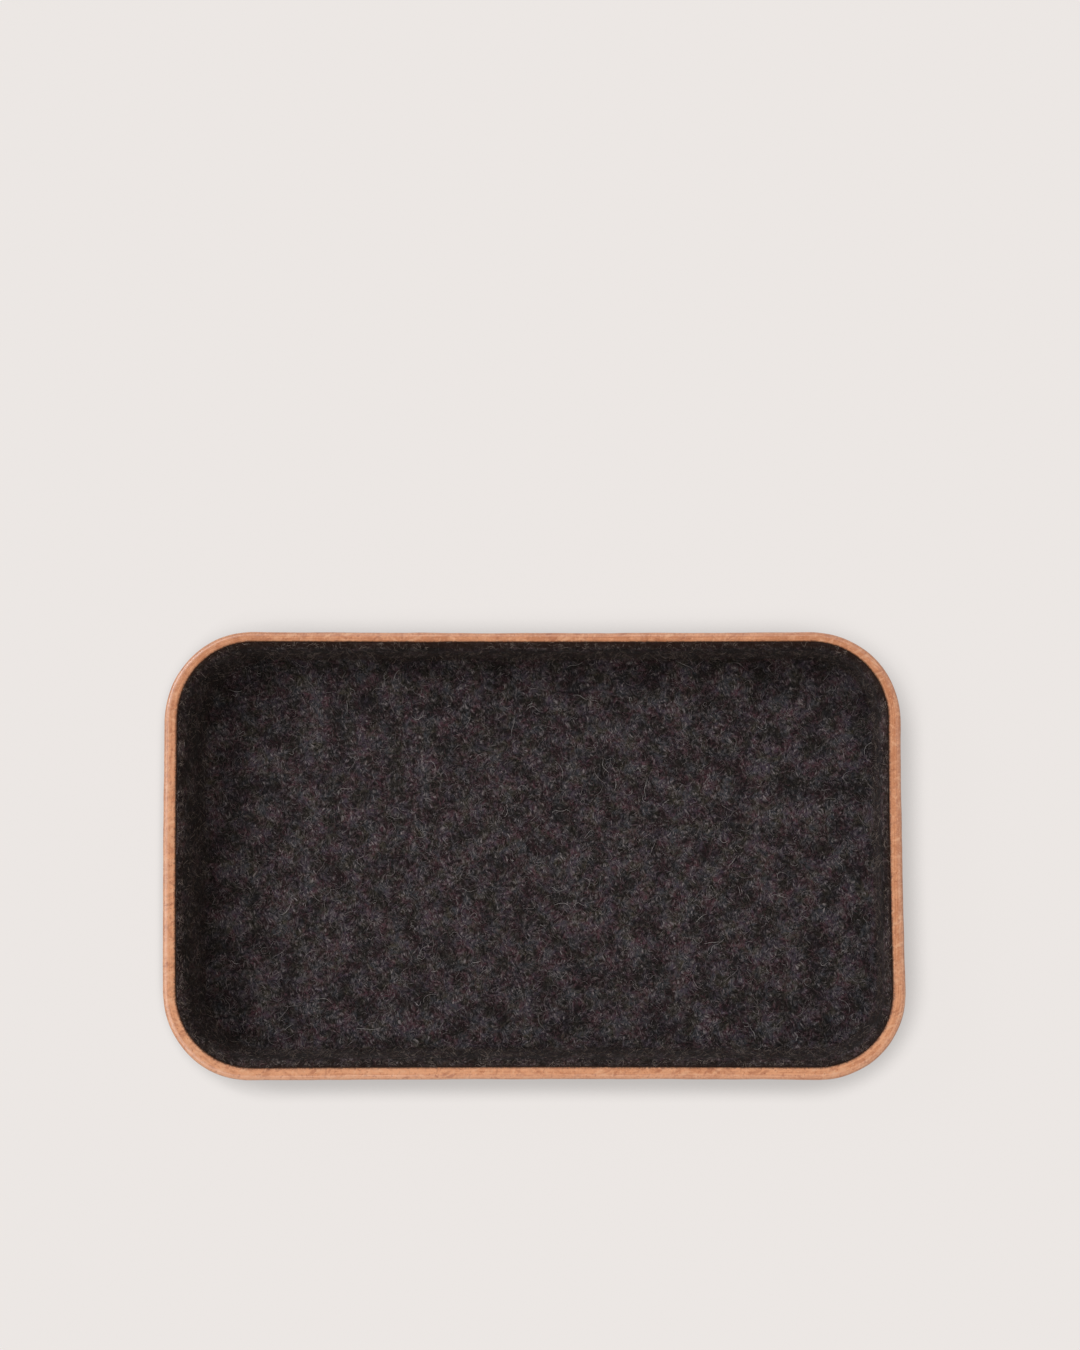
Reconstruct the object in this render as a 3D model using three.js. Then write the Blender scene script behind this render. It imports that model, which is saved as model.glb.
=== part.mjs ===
// Leather catchall tray: a wet-formed leather shell with a pressed wool-felt liner cemented inside it.
// Millimetres, +Z up. The origin is the centre of the underside, and +X runs along the tray's length.
import * as THREE from 'three';

// Overall form, measured outside, where the leaning walls reach the plane of the rim
const TRAY_LENGTH = 216;
const TRAY_WIDTH = 130.5;
const TRAY_HEIGHT = 30;
const CORNER_RADIUS = 26;
const WALL_LEAN_DEGREES = 1.2;
const BASE_RADIUS = 8;

// The layers, from the outside in
const LEATHER_THICKNESS = 3.2;
const BOND_THICKNESS = 0.3;
const FELT_THICKNESS = 2;
const LAYER_CLEARANCE = 0.1;

// The top edges: how far each layer stops below the rim, and how its corners are eased
const BOND_SETBACK = 0.9;
const FELT_SETBACK = 0.3;
const LEATHER_EDGE_RADIUS = 0.8;
const BOND_EDGE_RADIUS = 0.1;
const FELT_EDGE_RADIUS = 0.5;

// A layer folded tightly over the base radius never creases sharper than this, and an edge is never eased
// by more than this share of its layer's thickness
const TIGHTEST_CREASE = 0.5;
const MOST_EASED_SHARE = 0.4;

// Smoothness of the round parts
const FACETS_PER_CORNER = 12;
const POINTS_PER_ARC = 2;

// The colours and finishes of the photographed tray
const LEATHER_FINISH = { color: 0xcb9068, roughness: 0.5, metalness: 0 };
const BOND_FINISH = { color: 0x2a1c14, roughness: 0.7, metalness: 0 };
const FELT_FINISH = { color: 0x352f30, roughness: 0.95, metalness: 0 };

const DOWN = -Math.PI / 2;
const UP = Math.PI / 2;
const LEAN = THREE.MathUtils.degToRad(WALL_LEAN_DEGREES);

// One face of a layer, lying a given depth in from the tray's outside. Distances out are measured from the
// centre of a plan corner: the floor is flat, a round turns it upwards, and the wall leans outwards.
function faceAt(depth) {
  const round = Math.max(BASE_RADIUS - depth, TIGHTEST_CREASE);
  const roundHeight = depth + round;
  const wallOut = (height) => (
    CORNER_RADIUS - (TRAY_HEIGHT - height) * Math.tan(LEAN) - depth / Math.cos(LEAN)
  );
  const roundOut = wallOut(roundHeight) - round / Math.cos(LEAN);
  return { depth, round, roundHeight, roundOut, wallOut };
}

// The section of one layer from the axis out along its underside, over its top edge and back to the axis.
function layerSection(outer, inner, top, edgeRadius) {
  const edgeHeight = top - edgeRadius;
  const outerEdge = outer.wallOut(edgeHeight) - edgeRadius / Math.cos(LEAN);
  const innerEdge = inner.wallOut(edgeHeight) + edgeRadius / Math.cos(LEAN);
  const section = new THREE.Path();
  section.moveTo(0, outer.depth);
  section.lineTo(outer.roundOut, outer.depth);
  section.absarc(outer.roundOut, outer.roundHeight, outer.round, DOWN, -LEAN, false);
  section.absarc(outerEdge, edgeHeight, edgeRadius, -LEAN, UP, false);
  section.absarc(innerEdge, edgeHeight, edgeRadius, UP, Math.PI - LEAN, false);
  section.absarc(inner.roundOut, inner.roundHeight, inner.round, -LEAN, DOWN, true);
  section.lineTo(0, inner.depth);
  return section;
}

// Turns a section round one corner, then draws the four quarters apart to the tray's length and width. Each
// straight wall is the facet that straddles an axis, so the walls lie flat on the tray's overall size.
function pressedForm(section) {
  const facets = 4 * FACETS_PER_CORNER;
  const halfFacet = Math.PI / facets;
  const form = new THREE.LatheGeometry(section.getPoints(POINTS_PER_ARC), facets, halfFacet);
  form.scale(1 / Math.cos(halfFacet), 1, 1 / Math.cos(halfFacet));
  const halfLength = TRAY_LENGTH / 2 - CORNER_RADIUS;
  const halfWidth = TRAY_WIDTH / 2 - CORNER_RADIUS;
  const points = form.getAttribute('position');
  for (let i = 0; i < points.count; i += 1) {
    points.setX(i, points.getX(i) + Math.sign(points.getX(i)) * halfLength);
    points.setZ(i, points.getZ(i) + Math.sign(points.getZ(i)) * halfWidth);
  }
  form.rotateX(UP);
  form.computeVertexNormals();
  return form;
}

// One named layer of the tray: its outer depth, its thickness and how its top edge is finished.
function pressedLayer(name, depth, thickness, setback, edgeRadius, finish) {
  const outer = faceAt(depth);
  const inner = faceAt(depth + thickness);
  const eased = Math.min(edgeRadius, MOST_EASED_SHARE * thickness);
  const section = layerSection(outer, inner, TRAY_HEIGHT - setback, eased);
  const layer = new THREE.Mesh(pressedForm(section), new THREE.MeshStandardMaterial(finish));
  layer.name = name;
  return layer;
}

const BOND_DEPTH = LEATHER_THICKNESS + LAYER_CLEARANCE;
const FELT_DEPTH = BOND_DEPTH + BOND_THICKNESS + LAYER_CLEARANCE;

const tray = new THREE.Group();
tray.add(
  pressedLayer('leather_shell', 0, LEATHER_THICKNESS, 0, LEATHER_EDGE_RADIUS, LEATHER_FINISH),
  pressedLayer('bond_film', BOND_DEPTH, BOND_THICKNESS, BOND_SETBACK, BOND_EDGE_RADIUS, BOND_FINISH),
  pressedLayer('felt_liner', FELT_DEPTH, FELT_THICKNESS, FELT_SETBACK, FELT_EDGE_RADIUS, FELT_FINISH),
);

export default tray;
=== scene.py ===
import math
from typing import NamedTuple

import bmesh
import bpy
import numpy as np
from bpy.props import FloatProperty, FloatVectorProperty, IntProperty, PointerProperty
from bpy.types import Operator, Panel, PropertyGroup
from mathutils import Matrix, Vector, noise


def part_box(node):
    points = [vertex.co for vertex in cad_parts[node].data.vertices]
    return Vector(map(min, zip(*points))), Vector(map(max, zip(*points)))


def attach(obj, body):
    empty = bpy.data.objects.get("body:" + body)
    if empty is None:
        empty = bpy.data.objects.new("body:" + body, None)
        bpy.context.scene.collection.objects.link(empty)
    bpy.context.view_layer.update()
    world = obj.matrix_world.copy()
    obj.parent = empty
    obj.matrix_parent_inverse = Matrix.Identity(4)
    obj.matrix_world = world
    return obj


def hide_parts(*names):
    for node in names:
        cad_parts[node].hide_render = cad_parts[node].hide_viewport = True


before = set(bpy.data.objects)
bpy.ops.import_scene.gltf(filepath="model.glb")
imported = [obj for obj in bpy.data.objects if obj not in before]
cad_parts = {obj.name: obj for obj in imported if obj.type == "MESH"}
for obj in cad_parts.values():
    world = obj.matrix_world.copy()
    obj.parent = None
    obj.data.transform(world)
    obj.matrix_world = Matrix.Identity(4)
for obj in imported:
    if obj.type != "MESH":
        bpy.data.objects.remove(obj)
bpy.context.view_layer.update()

bl_info = {
    "name": "Felt-lined leather tray",
    "version": (1, 0, 0),
    "blender": (4, 5, 0),
    "location": "View3D > Sidebar > Tray",
    "description": "Models a wet-formed leather catchall tray with a pressed wool-felt liner",
    "category": "Add Mesh",
}

MM = 0.001
SHELL_LOW, SHELL_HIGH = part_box("leather_shell")

# How close counts as the same place, and how sharp a fold counts as an edge
TOUCH = 0.02 * MM
SHARP = 0.8


class TraySizes(PropertyGroup):
    """The tray's form and the thickness of its layers."""

    length: FloatProperty(
        name="Length",
        description="Outside length at the rim",
        default=SHELL_HIGH.x - SHELL_LOW.x,
        unit="LENGTH",
    )
    width: FloatProperty(
        name="Width",
        description="Outside width at the rim",
        default=SHELL_HIGH.y - SHELL_LOW.y,
        unit="LENGTH",
    )
    height: FloatProperty(
        name="Height",
        description="Height of the rim above the underside",
        default=SHELL_HIGH.z - SHELL_LOW.z,
        unit="LENGTH",
    )
    corner_radius: FloatProperty(
        name="Corner radius",
        description="Outside radius of the corners in plan, at the rim",
        default=26 * MM,
        unit="LENGTH",
    )
    base_radius: FloatProperty(
        name="Base radius",
        description="Outside radius where the walls turn into the underside",
        default=8 * MM,
        unit="LENGTH",
    )
    wall_lean: FloatProperty(
        name="Wall lean",
        description="How far the walls lean outwards",
        default=math.radians(1.2),
        subtype="ANGLE",
    )
    leather_thickness: FloatProperty(
        name="Leather thickness",
        description="Thickness of the leather shell",
        default=3.2 * MM,
        unit="LENGTH",
    )
    leather_outer_edge: FloatProperty(
        name="Leather outer edge",
        description="Rounding of the burnished rim's outer corner",
        default=1.3 * MM,
        unit="LENGTH",
    )
    leather_inner_edge: FloatProperty(
        name="Leather inner edge",
        description="Rounding of the burnished rim's inner corner",
        default=0.55 * MM,
        unit="LENGTH",
    )
    leather_lip: FloatProperty(
        name="Leather lip",
        description="How far the leather swells inwards above the cement",
        default=0.25 * MM,
        unit="LENGTH",
    )
    bond_thickness: FloatProperty(
        name="Bond thickness",
        description="Thickness of the coat of contact cement",
        default=0.3 * MM,
        unit="LENGTH",
    )
    bond_edge: FloatProperty(
        name="Bond edge radius",
        description="Rounding of the cement's top edge",
        default=0.1 * MM,
        unit="LENGTH",
    )
    felt_thickness: FloatProperty(
        name="Felt thickness",
        description="Thickness of the pressed felt liner",
        default=2 * MM,
        unit="LENGTH",
    )
    felt_outer_edge: FloatProperty(
        name="Felt outer edge",
        description="Rounding of the felt's cut edge next to the leather",
        default=0.12 * MM,
        unit="LENGTH",
    )
    felt_inner_edge: FloatProperty(
        name="Felt inner edge",
        description="Rounding of the felt's cut edge towards the inside",
        default=1.8 * MM,
        unit="LENGTH",
    )
    felt_lip: FloatProperty(
        name="Felt lip",
        description="How far the felt swells outwards above the cement",
        default=0.1 * MM,
        unit="LENGTH",
    )
    skiving: FloatVectorProperty(
        name="Skiving",
        description="How much thinner the leather is at the right, the left, the back and the front",
        default=(-0.24 * MM, -0.66 * MM, 0.55 * MM, -0.38 * MM),
        size=4,
        unit="LENGTH",
    )
    right_wall: FloatVectorProperty(
        name="Right wall",
        description="How far out of place the right wall is: all along, growing to the back, and bowed",
        default=(0.08 * MM, -1.14 * MM, 0.78 * MM),
        unit="LENGTH",
    )
    left_wall: FloatVectorProperty(
        name="Left wall",
        description="How far out of place the left wall is: all along, growing to the back, and bowed",
        default=(-0.07 * MM, 0.39 * MM, 0.43 * MM),
        unit="LENGTH",
    )
    back_wall: FloatVectorProperty(
        name="Back wall",
        description="How far out of place the back wall is: all along, growing to the right, and bowed",
        default=(-0.40 * MM, -0.78 * MM, 0.36 * MM),
        unit="LENGTH",
    )
    front_wall: FloatVectorProperty(
        name="Front wall",
        description="How far out of place the front wall is: all along, growing to the right, and bowed",
        default=(0.08 * MM, 1.00 * MM, -0.43 * MM),
        unit="LENGTH",
    )


class TrayColours(PropertyGroup):
    """The colours of the tray's materials and of the stage."""

    grain_tan: FloatVectorProperty(
        name="Grain tan",
        description="Smooth outside of the leather",
        default=(0.50, 0.215, 0.095),
        subtype="COLOR",
    )
    # Also the colour of the painted shade line along the rim's outer edge
    grain_deep: FloatVectorProperty(
        name="Grain deep",
        description="Pores and darker patches of the leather's outside",
        default=(0.34, 0.125, 0.048),
        subtype="COLOR",
    )
    edge_tan: FloatVectorProperty(
        name="Edge tan",
        description="Burnished cut edge of the leather",
        default=(0.476, 0.1785, 0.076),
        subtype="COLOR",
    )
    edge_pale: FloatVectorProperty(
        name="Edge pale",
        description="Bare fibres that show in the cut edge",
        default=(0.683, 0.312, 0.157),
        subtype="COLOR",
    )
    edge_bare: FloatVectorProperty(
        name="Edge bare",
        description="Raw specks in the cut edge",
        default=(0.735, 0.395, 0.225),
        subtype="COLOR",
    )
    edge_deep: FloatVectorProperty(
        name="Edge deep",
        description="Darker lines and pits in the cut edge",
        default=(0.33, 0.100, 0.040),
        subtype="COLOR",
    )
    felt_black: FloatVectorProperty(
        name="Felt black",
        description="Hollows between the felt's fibres",
        default=(0.0044, 0.0030, 0.0027),
        subtype="COLOR",
    )
    felt_warm: FloatVectorProperty(
        name="Felt warm",
        description="Plum brown wool in the felt",
        default=(0.087, 0.0362, 0.0448),
        subtype="COLOR",
    )
    felt_cool: FloatVectorProperty(
        name="Felt cool",
        description="Grey wool in the felt",
        default=(0.0535, 0.0455, 0.0305),
        subtype="COLOR",
    )
    felt_slate: FloatVectorProperty(
        name="Felt slate",
        description="Bluish wool blended into the felt here and there",
        default=(0.034, 0.042, 0.062),
        subtype="COLOR",
    )
    # Painted light: warm light bounced off the leather onto the felt's walls and cut edge
    felt_brown: FloatVectorProperty(
        name="Felt brown",
        description="Browned wool on the felt's walls, next to the leather",
        default=(0.088, 0.041, 0.031),
        subtype="COLOR",
    )
    felt_pale: FloatVectorProperty(
        name="Felt pale",
        description="Pale wool flecks in the felt",
        default=(0.24, 0.205, 0.20),
        subtype="COLOR",
    )
    fibre_pale: FloatVectorProperty(
        name="Fibre pale",
        description="The palest of the loose fibres",
        default=(0.48, 0.44, 0.42),
        subtype="COLOR",
    )
    wall_pale: FloatVectorProperty(
        name="Wall pale",
        description="The palest fibres on the walls",
        default=(0.235, 0.185, 0.158),
        subtype="COLOR",
    )
    # Painted shade: warm darkening of the felt's walls and cut edge, and the dark end of the fibres there
    felt_stain: FloatVectorProperty(
        name="Felt stain",
        description="Brown that the leather's dressing leaves on the felt's cut edge",
        default=(0.024, 0.010, 0.006),
        subtype="COLOR",
    )
    edge_wool: FloatVectorProperty(
        name="Edge wool",
        description="The palest fibres of the felt's cut edge",
        default=(0.27, 0.212, 0.18),
        subtype="COLOR",
    )
    # Painted shade: the dark line in the crevice along the rim's inner corner, next to the felt
    edge_sealed: FloatVectorProperty(
        name="Edge sealed",
        description="Dark dressing that gathers along the rim's inner corner",
        default=(0.050, 0.018, 0.009),
        subtype="COLOR",
    )
    cement: FloatVectorProperty(
        name="Cement",
        description="Dried contact cement between leather and felt",
        default=(0.020, 0.012, 0.008),
        subtype="COLOR",
    )
    floor: FloatVectorProperty(
        name="Floor",
        description="Pale floor that the tray stands on",
        default=(0.838, 0.799, 0.776),
        subtype="COLOR",
    )


class FibreSettings(PropertyGroup):
    """The loose wool fibres on the felt."""

    fuzz_count: IntProperty(
        name="Fuzz",
        description="Short fibres that lie on the felt",
        default=7000,
    )
    stray_count: IntProperty(
        name="Strays",
        description="Longer pale fibres that stand off the felt",
        default=360,
    )
    wall_count: IntProperty(
        name="Wall fuzz",
        description="Short fibres that stand off the felt's walls",
        default=6000,
    )
    edge_count: IntProperty(
        name="Edge fuzz",
        description="Short fibres along the felt's cut edge",
        default=2600,
    )
    thickness: FloatProperty(
        name="Fibre thickness",
        description="Thickness of one loose fibre or tuft of fibres",
        default=0.12 * MM,
        unit="LENGTH",
    )
    seed: IntProperty(
        name="Seed",
        description="Picks one arrangement of the loose fibres",
        default=7,
    )


# Modelling helpers


def deselect_all():
    """Leaves no object selected, since an operator acts on all that is."""
    if bpy.context.object and bpy.context.object.mode != "OBJECT":
        bpy.ops.object.mode_set(mode="OBJECT")
    bpy.ops.object.select_all(action="DESELECT")


def make_active(piece):
    """Makes one piece the only selected object."""
    deselect_all()
    piece.select_set(True)
    bpy.context.view_layer.objects.active = piece


def pick(piece, kind, test):
    """In edit mode, selects only the vertices, edges or faces of the piece that pass a test."""
    bpy.ops.mesh.select_mode(type=kind)
    bpy.ops.mesh.select_all(action="DESELECT")
    shape = bmesh.from_edit_mesh(piece.data)
    parts = {"VERT": shape.verts, "EDGE": shape.edges, "FACE": shape.faces}[kind]
    chosen = [part for part in parts if test(part)]
    if not chosen:
        raise RuntimeError(f"{piece.name}: nothing to pick")
    for part in chosen:
        part.select_set(True)
    bmesh.update_edit_mesh(piece.data)


def sharp_edge_at(height):
    """A test for the folded edges that lie level at one height."""

    def test(edge):
        level = all(abs(end.co.z - height) < TOUCH for end in edge.verts)
        return level and edge.calc_face_angle(0) > SHARP

    return test


def flat_face_at(height):
    """A test for the flat faces that lie at one height."""
    return lambda face: all(abs(corner.co.z - height) < TOUCH for corner in face.verts)


def round_edges(radius, cuts):
    """Rounds the selected edges."""
    bpy.ops.mesh.bevel(offset=radius, segments=cuts, affect="EDGES", clamp_overlap=False)


def apply_modifier(piece, kind, **settings):
    """Adds one modifier to a piece, sets it up and applies it."""
    make_active(piece)
    modifier = piece.modifiers.new(kind.title(), kind)
    for name, value in settings.items():
        setattr(modifier, name, value)
    bpy.ops.object.modifier_apply(modifier=modifier.name)


def gathered(items, field, width):
    """One field of all the items of a mesh, one row each."""
    values = np.empty(width * len(items))
    items.foreach_get(field, values)
    return values.reshape(-1, width)


def vertex_places(piece):
    """The places of a piece's vertices, one row each."""
    return gathered(piece.data.vertices, "co", 3)


def vertex_normals(piece):
    """The normals at a piece's vertices, one row each."""
    return gathered(piece.data.vertex_normals, "vector", 3)


def weigh(piece, name, weights):
    """Stores a weight for each vertex as a vertex group."""
    group = piece.vertex_groups.new(name=name)
    levels = np.round(np.clip(weights, 0, 1), 2)
    for level in np.unique(levels[levels > 0]):
        group.add(np.flatnonzero(levels == level).tolist(), float(level), "REPLACE")
    return name


def ramp(values, low, high):
    """A smooth climb from 0 at low to 1 at high."""
    share = np.clip((values - low) / (high - low), 0, 1)
    return share * share * (3 - 2 * share)


def roughen(piece, group, grain, depth):
    """Moves a piece's weighted surface in and out by a cloudy pattern of the given grain."""
    pattern = bpy.data.textures.new(f"{piece.name}_{group}", "CLOUDS")
    pattern.noise_scale = grain
    pattern.noise_depth = 2
    apply_modifier(
        piece,
        "DISPLACE",
        texture=pattern,
        texture_coords="LOCAL",
        strength=depth,
        vertex_group=group,
    )


# The pressed form that all three layers share

# How many cuts make each rounding: the corners in plan, the base outside and inside, and the outer top edge
CORNER_CUTS = 12
BASE_CUTS = 4
FLOOR_CUTS = 3
EDGE_CUTS = 3
# The cage that bends a layer: how much larger than the tray it is, and how many points it has each way
CAGE_ROOM = 1.6
CAGE_POINTS = (13, 11, 2)


def half_sizes(inset, height):
    """Half the length and half the width of a wall's face, at one inset from the outside and one height."""
    sizes = bpy.context.scene.tray_sizes
    spare = inset / math.cos(sizes.wall_lean) + (sizes.height - height) * math.tan(sizes.wall_lean)
    return sizes.length / 2 - spare, sizes.width / 2 - spare


def straight_run():
    """Half the length and half the width of the walls' straight stretches."""
    sizes = bpy.context.scene.tray_sizes
    return sizes.length / 2 - sizes.corner_radius, sizes.width / 2 - sizes.corner_radius


def plan_inset(places):
    """How far each place lies in from the tray's outline, seen in plan."""
    sizes = bpy.context.scene.tray_sizes
    past = np.abs(places[:, :2]) - np.array(straight_run())
    outside = np.linalg.norm(np.maximum(past, 0), axis=1)
    inside = np.minimum(past.max(axis=1), 0)
    return sizes.corner_radius - outside - inside


def outward(places):
    """The way straight out through the nearest wall at each place, seen in plan."""
    past = np.maximum(np.abs(places[:, :2]) - np.array(straight_run()), 0) * np.sign(places[:, :2])
    return past / np.maximum(np.linalg.norm(past, axis=1, keepdims=True), TOUCH)


def across_rim(places):
    """How far across the rim each place lies, from 0 at the outside to 1 at the leather's inner edge."""
    sizes = bpy.context.scene.tray_sizes
    way = np.abs(outward(places))
    right, left, back, front = sizes.skiving
    thinner_along = np.where(places[:, 0] > 0, right, left)
    thinner_across = np.where(places[:, 1] > 0, back, front)
    thickness = sizes.leather_thickness - way[:, 0] * thinner_along - way[:, 1] * thinner_across
    return plan_inset(places) / (thickness + sizes.leather_lip)


def laid_flat(places, floor, drawn):
    """Where each place would lie with the walls folded down and no longer drawn out."""
    flat = np.zeros_like(places)
    flat[:, :2] = places[:, :2] + outward(places) * np.maximum(places[:, 2:] - floor, 0) / drawn
    return flat


def inset_of(corner):
    """How far one vertex lies in from the tray's outline."""
    return plan_inset(np.array([corner.co]))[0]


def lean_face(piece, height, start, end):
    """Draws the flat face at one height in or out, from one pair of half sizes to another."""
    pick(piece, "FACE", flat_face_at(height))
    share = (end[0] / start[0], end[1] / start[1], 1)
    bpy.ops.transform.resize(value=share, center_override=(0, 0, height))


def cut_across(direction, places):
    """Cuts the whole piece by planes that face one direction."""
    for place in places:
        bpy.ops.mesh.select_all(action="SELECT")
        bpy.ops.mesh.bisect(plane_co=place * Vector(direction), plane_no=direction)


def pressed_block(name, depth, top, thickness, outer_edge, inner_edge, inner_cuts=2):
    """Models a layer as a block that is rounded, leaned, hollowed out and eased along its top edge."""
    sizes = bpy.context.scene.tray_sizes
    floor = depth + thickness
    foot, rim = half_sizes(depth, depth), half_sizes(depth, top)
    deselect_all()
    bpy.ops.mesh.primitive_cube_add(size=1, location=(0, 0, 0))
    piece = bpy.context.object
    piece.name = name
    piece.data.name = name
    bpy.ops.object.mode_set(mode="EDIT")
    bpy.ops.transform.resize(value=(2 * foot[0], 2 * foot[1], top - depth), center_override=(0, 0, 0))
    bpy.ops.transform.translate(value=(0, 0, (top + depth) / 2))
    pick(piece, "EDGE", lambda edge: abs(edge.verts[0].co.z - edge.verts[1].co.z) > TOUCH)
    round_edges(foot[0] - straight_run()[0], CORNER_CUTS)
    lean_face(piece, top, foot, rim)
    pick(piece, "EDGE", sharp_edge_at(depth))
    round_edges(sizes.base_radius - depth, BASE_CUTS)
    pick(piece, "FACE", flat_face_at(top))
    bpy.ops.mesh.inset(thickness=thickness)
    bpy.ops.mesh.extrude_region_move(TRANSFORM_OT_translate={"value": (0, 0, floor - top)})
    lean_face(piece, floor, half_sizes(floor, top), half_sizes(floor, floor))
    pick(piece, "EDGE", sharp_edge_at(floor))
    round_edges(sizes.base_radius - floor, FLOOR_CUTS)
    middle = depth + thickness / 2
    pick(piece, "EDGE", lambda edge: sharp_edge_at(top)(edge) and inset_of(edge.verts[0]) < middle)
    round_edges(outer_edge, EDGE_CUTS)
    pick(piece, "EDGE", lambda edge: sharp_edge_at(top)(edge) and inset_of(edge.verts[0]) > middle)
    round_edges(inner_edge, inner_cuts)
    return piece


def swell(piece, height, low, high, amount):
    """Moves what lies above a height, between two insets, in or out from the tray's middle."""
    start = half_sizes((low + high) / 2, height)
    share = ((start[0] + amount) / start[0], (start[1] + amount) / start[1], 1)
    pick(piece, "VERT", lambda corner: corner.co.z > height and low < inset_of(corner) < high)
    bpy.ops.transform.resize(value=share, center_override=(0, 0, 0))


def skive(piece, inset):
    """Moves what lies deeper than an inset outwards or inwards, where the leather is thinner or thicker."""
    sizes = bpy.context.scene.tray_sizes
    long_run, short_run = straight_run()
    sides = ((1, 0, long_run), (-1, 0, long_run), (0, 1, short_run), (0, -1, short_run))
    for (along, across, start), amount in zip(sides, sizes.skiving):
        way = Vector((along, across, 0))
        pick(piece, "VERT", lambda corner: corner.co.dot(way) > start and inset_of(corner) > inset)
        bpy.ops.transform.translate(value=amount * way)


def refine(piece, cell, smoothing):
    """Cuts the straight runs into cells and smooths the whole form."""
    sizes = bpy.context.scene.tray_sizes
    long_run, short_run = straight_run()
    cut_across((1, 0, 0), np.linspace(-long_run, long_run, round(2 * long_run / cell) + 1))
    cut_across((0, 1, 0), np.linspace(-short_run, short_run, round(2 * short_run / cell) + 1))
    wall = np.linspace(sizes.base_radius, sizes.height, round(sizes.height / cell))
    cut_across((0, 0, 1), wall[1:-1])
    bpy.ops.object.mode_set(mode="OBJECT")
    apply_modifier(piece, "SUBSURF", levels=smoothing, render_levels=smoothing)


def keep(piece, name, values):
    """Stores a number or a place for each vertex of a piece."""
    kind, field = ("FLOAT", "value") if values.ndim == 1 else ("FLOAT_VECTOR", "vector")
    stored = piece.data.attributes.new(name, kind, "POINT")
    stored.data.foreach_set(field, values.ravel())


def kept(piece, name):
    """The numbers stored for a piece's vertices."""
    return gathered(piece.data.attributes[name].data, "value", 1)[:, 0]


def strayed(wall, run):
    """How far a wall strays at one place along its run, which goes from -1 to 1."""
    return wall[0] + wall[1] * run + wall[2] * run * run


def hand_form(piece):
    """Bends a layer by the small unevenness of forming by hand, the same for every layer."""
    sizes = bpy.context.scene.tray_sizes
    room = Vector((sizes.length, sizes.width, sizes.height)) * CAGE_ROOM
    deselect_all()
    bpy.ops.object.add(type="LATTICE", location=(0, 0, sizes.height / 2))
    cage = bpy.context.object
    cage.scale = room
    cage.data.points_u, cage.data.points_v, cage.data.points_w = CAGE_POINTS
    for point in cage.data.points:
        along = 2 * point.co.x * room.x / sizes.length
        across = 2 * point.co.y * room.y / sizes.width
        right, left = strayed(sizes.right_wall, across), strayed(sizes.left_wall, across)
        back, front = strayed(sizes.back_wall, along), strayed(sizes.front_wall, along)
        sideways = ((1 + along) * right + (1 - along) * left) / 2
        endways = ((1 + across) * back + (1 - across) * front) / 2
        point.co_deform = point.co + Vector((sideways / room.x, endways / room.y, 0))
    bpy.context.view_layer.update()
    apply_modifier(piece, "LATTICE", object=cage)
    bpy.data.objects.remove(cage)


def settle(piece, material, node):
    """Finishes a piece: smooth shading, its material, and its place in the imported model."""
    make_active(piece)
    bpy.ops.object.shade_smooth()
    piece.data.materials.clear()
    piece.data.materials.append(material)
    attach(piece, "root")
    if node:
        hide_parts(node)


# Shader helpers

# How far from its middle a laid fibre stays whole, and where it ends, as shares of its cell
FIBRE_WHOLE, FIBRE_END = 0.25, 0.55


class Signal:
    """One value in a material's nodes. Arithmetic on it adds Math nodes."""

    def __init__(self, finish, socket):
        self.finish = finish
        self.socket = socket

    def math(self, operation, *values):
        sockets = dict(enumerate(values))
        return self.finish.node("ShaderNodeMath", {"operation": operation}, sockets)

    def other(self, output):
        """Another output of the node that this value comes from."""
        return Signal(self.finish, self.socket.node.outputs[output])

    def __add__(self, other):
        return self.math("ADD", self, other)

    def __sub__(self, other):
        return self.math("SUBTRACT", self, other)

    def __rsub__(self, other):
        return self.math("SUBTRACT", other, self)

    def __mul__(self, other):
        return self.math("MULTIPLY", self, other)

    def __pow__(self, other):
        return self.math("POWER", self, other)

    def __abs__(self):
        return self.math("ABSOLUTE", self)

    __radd__ = __add__
    __rmul__ = __mul__


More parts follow.
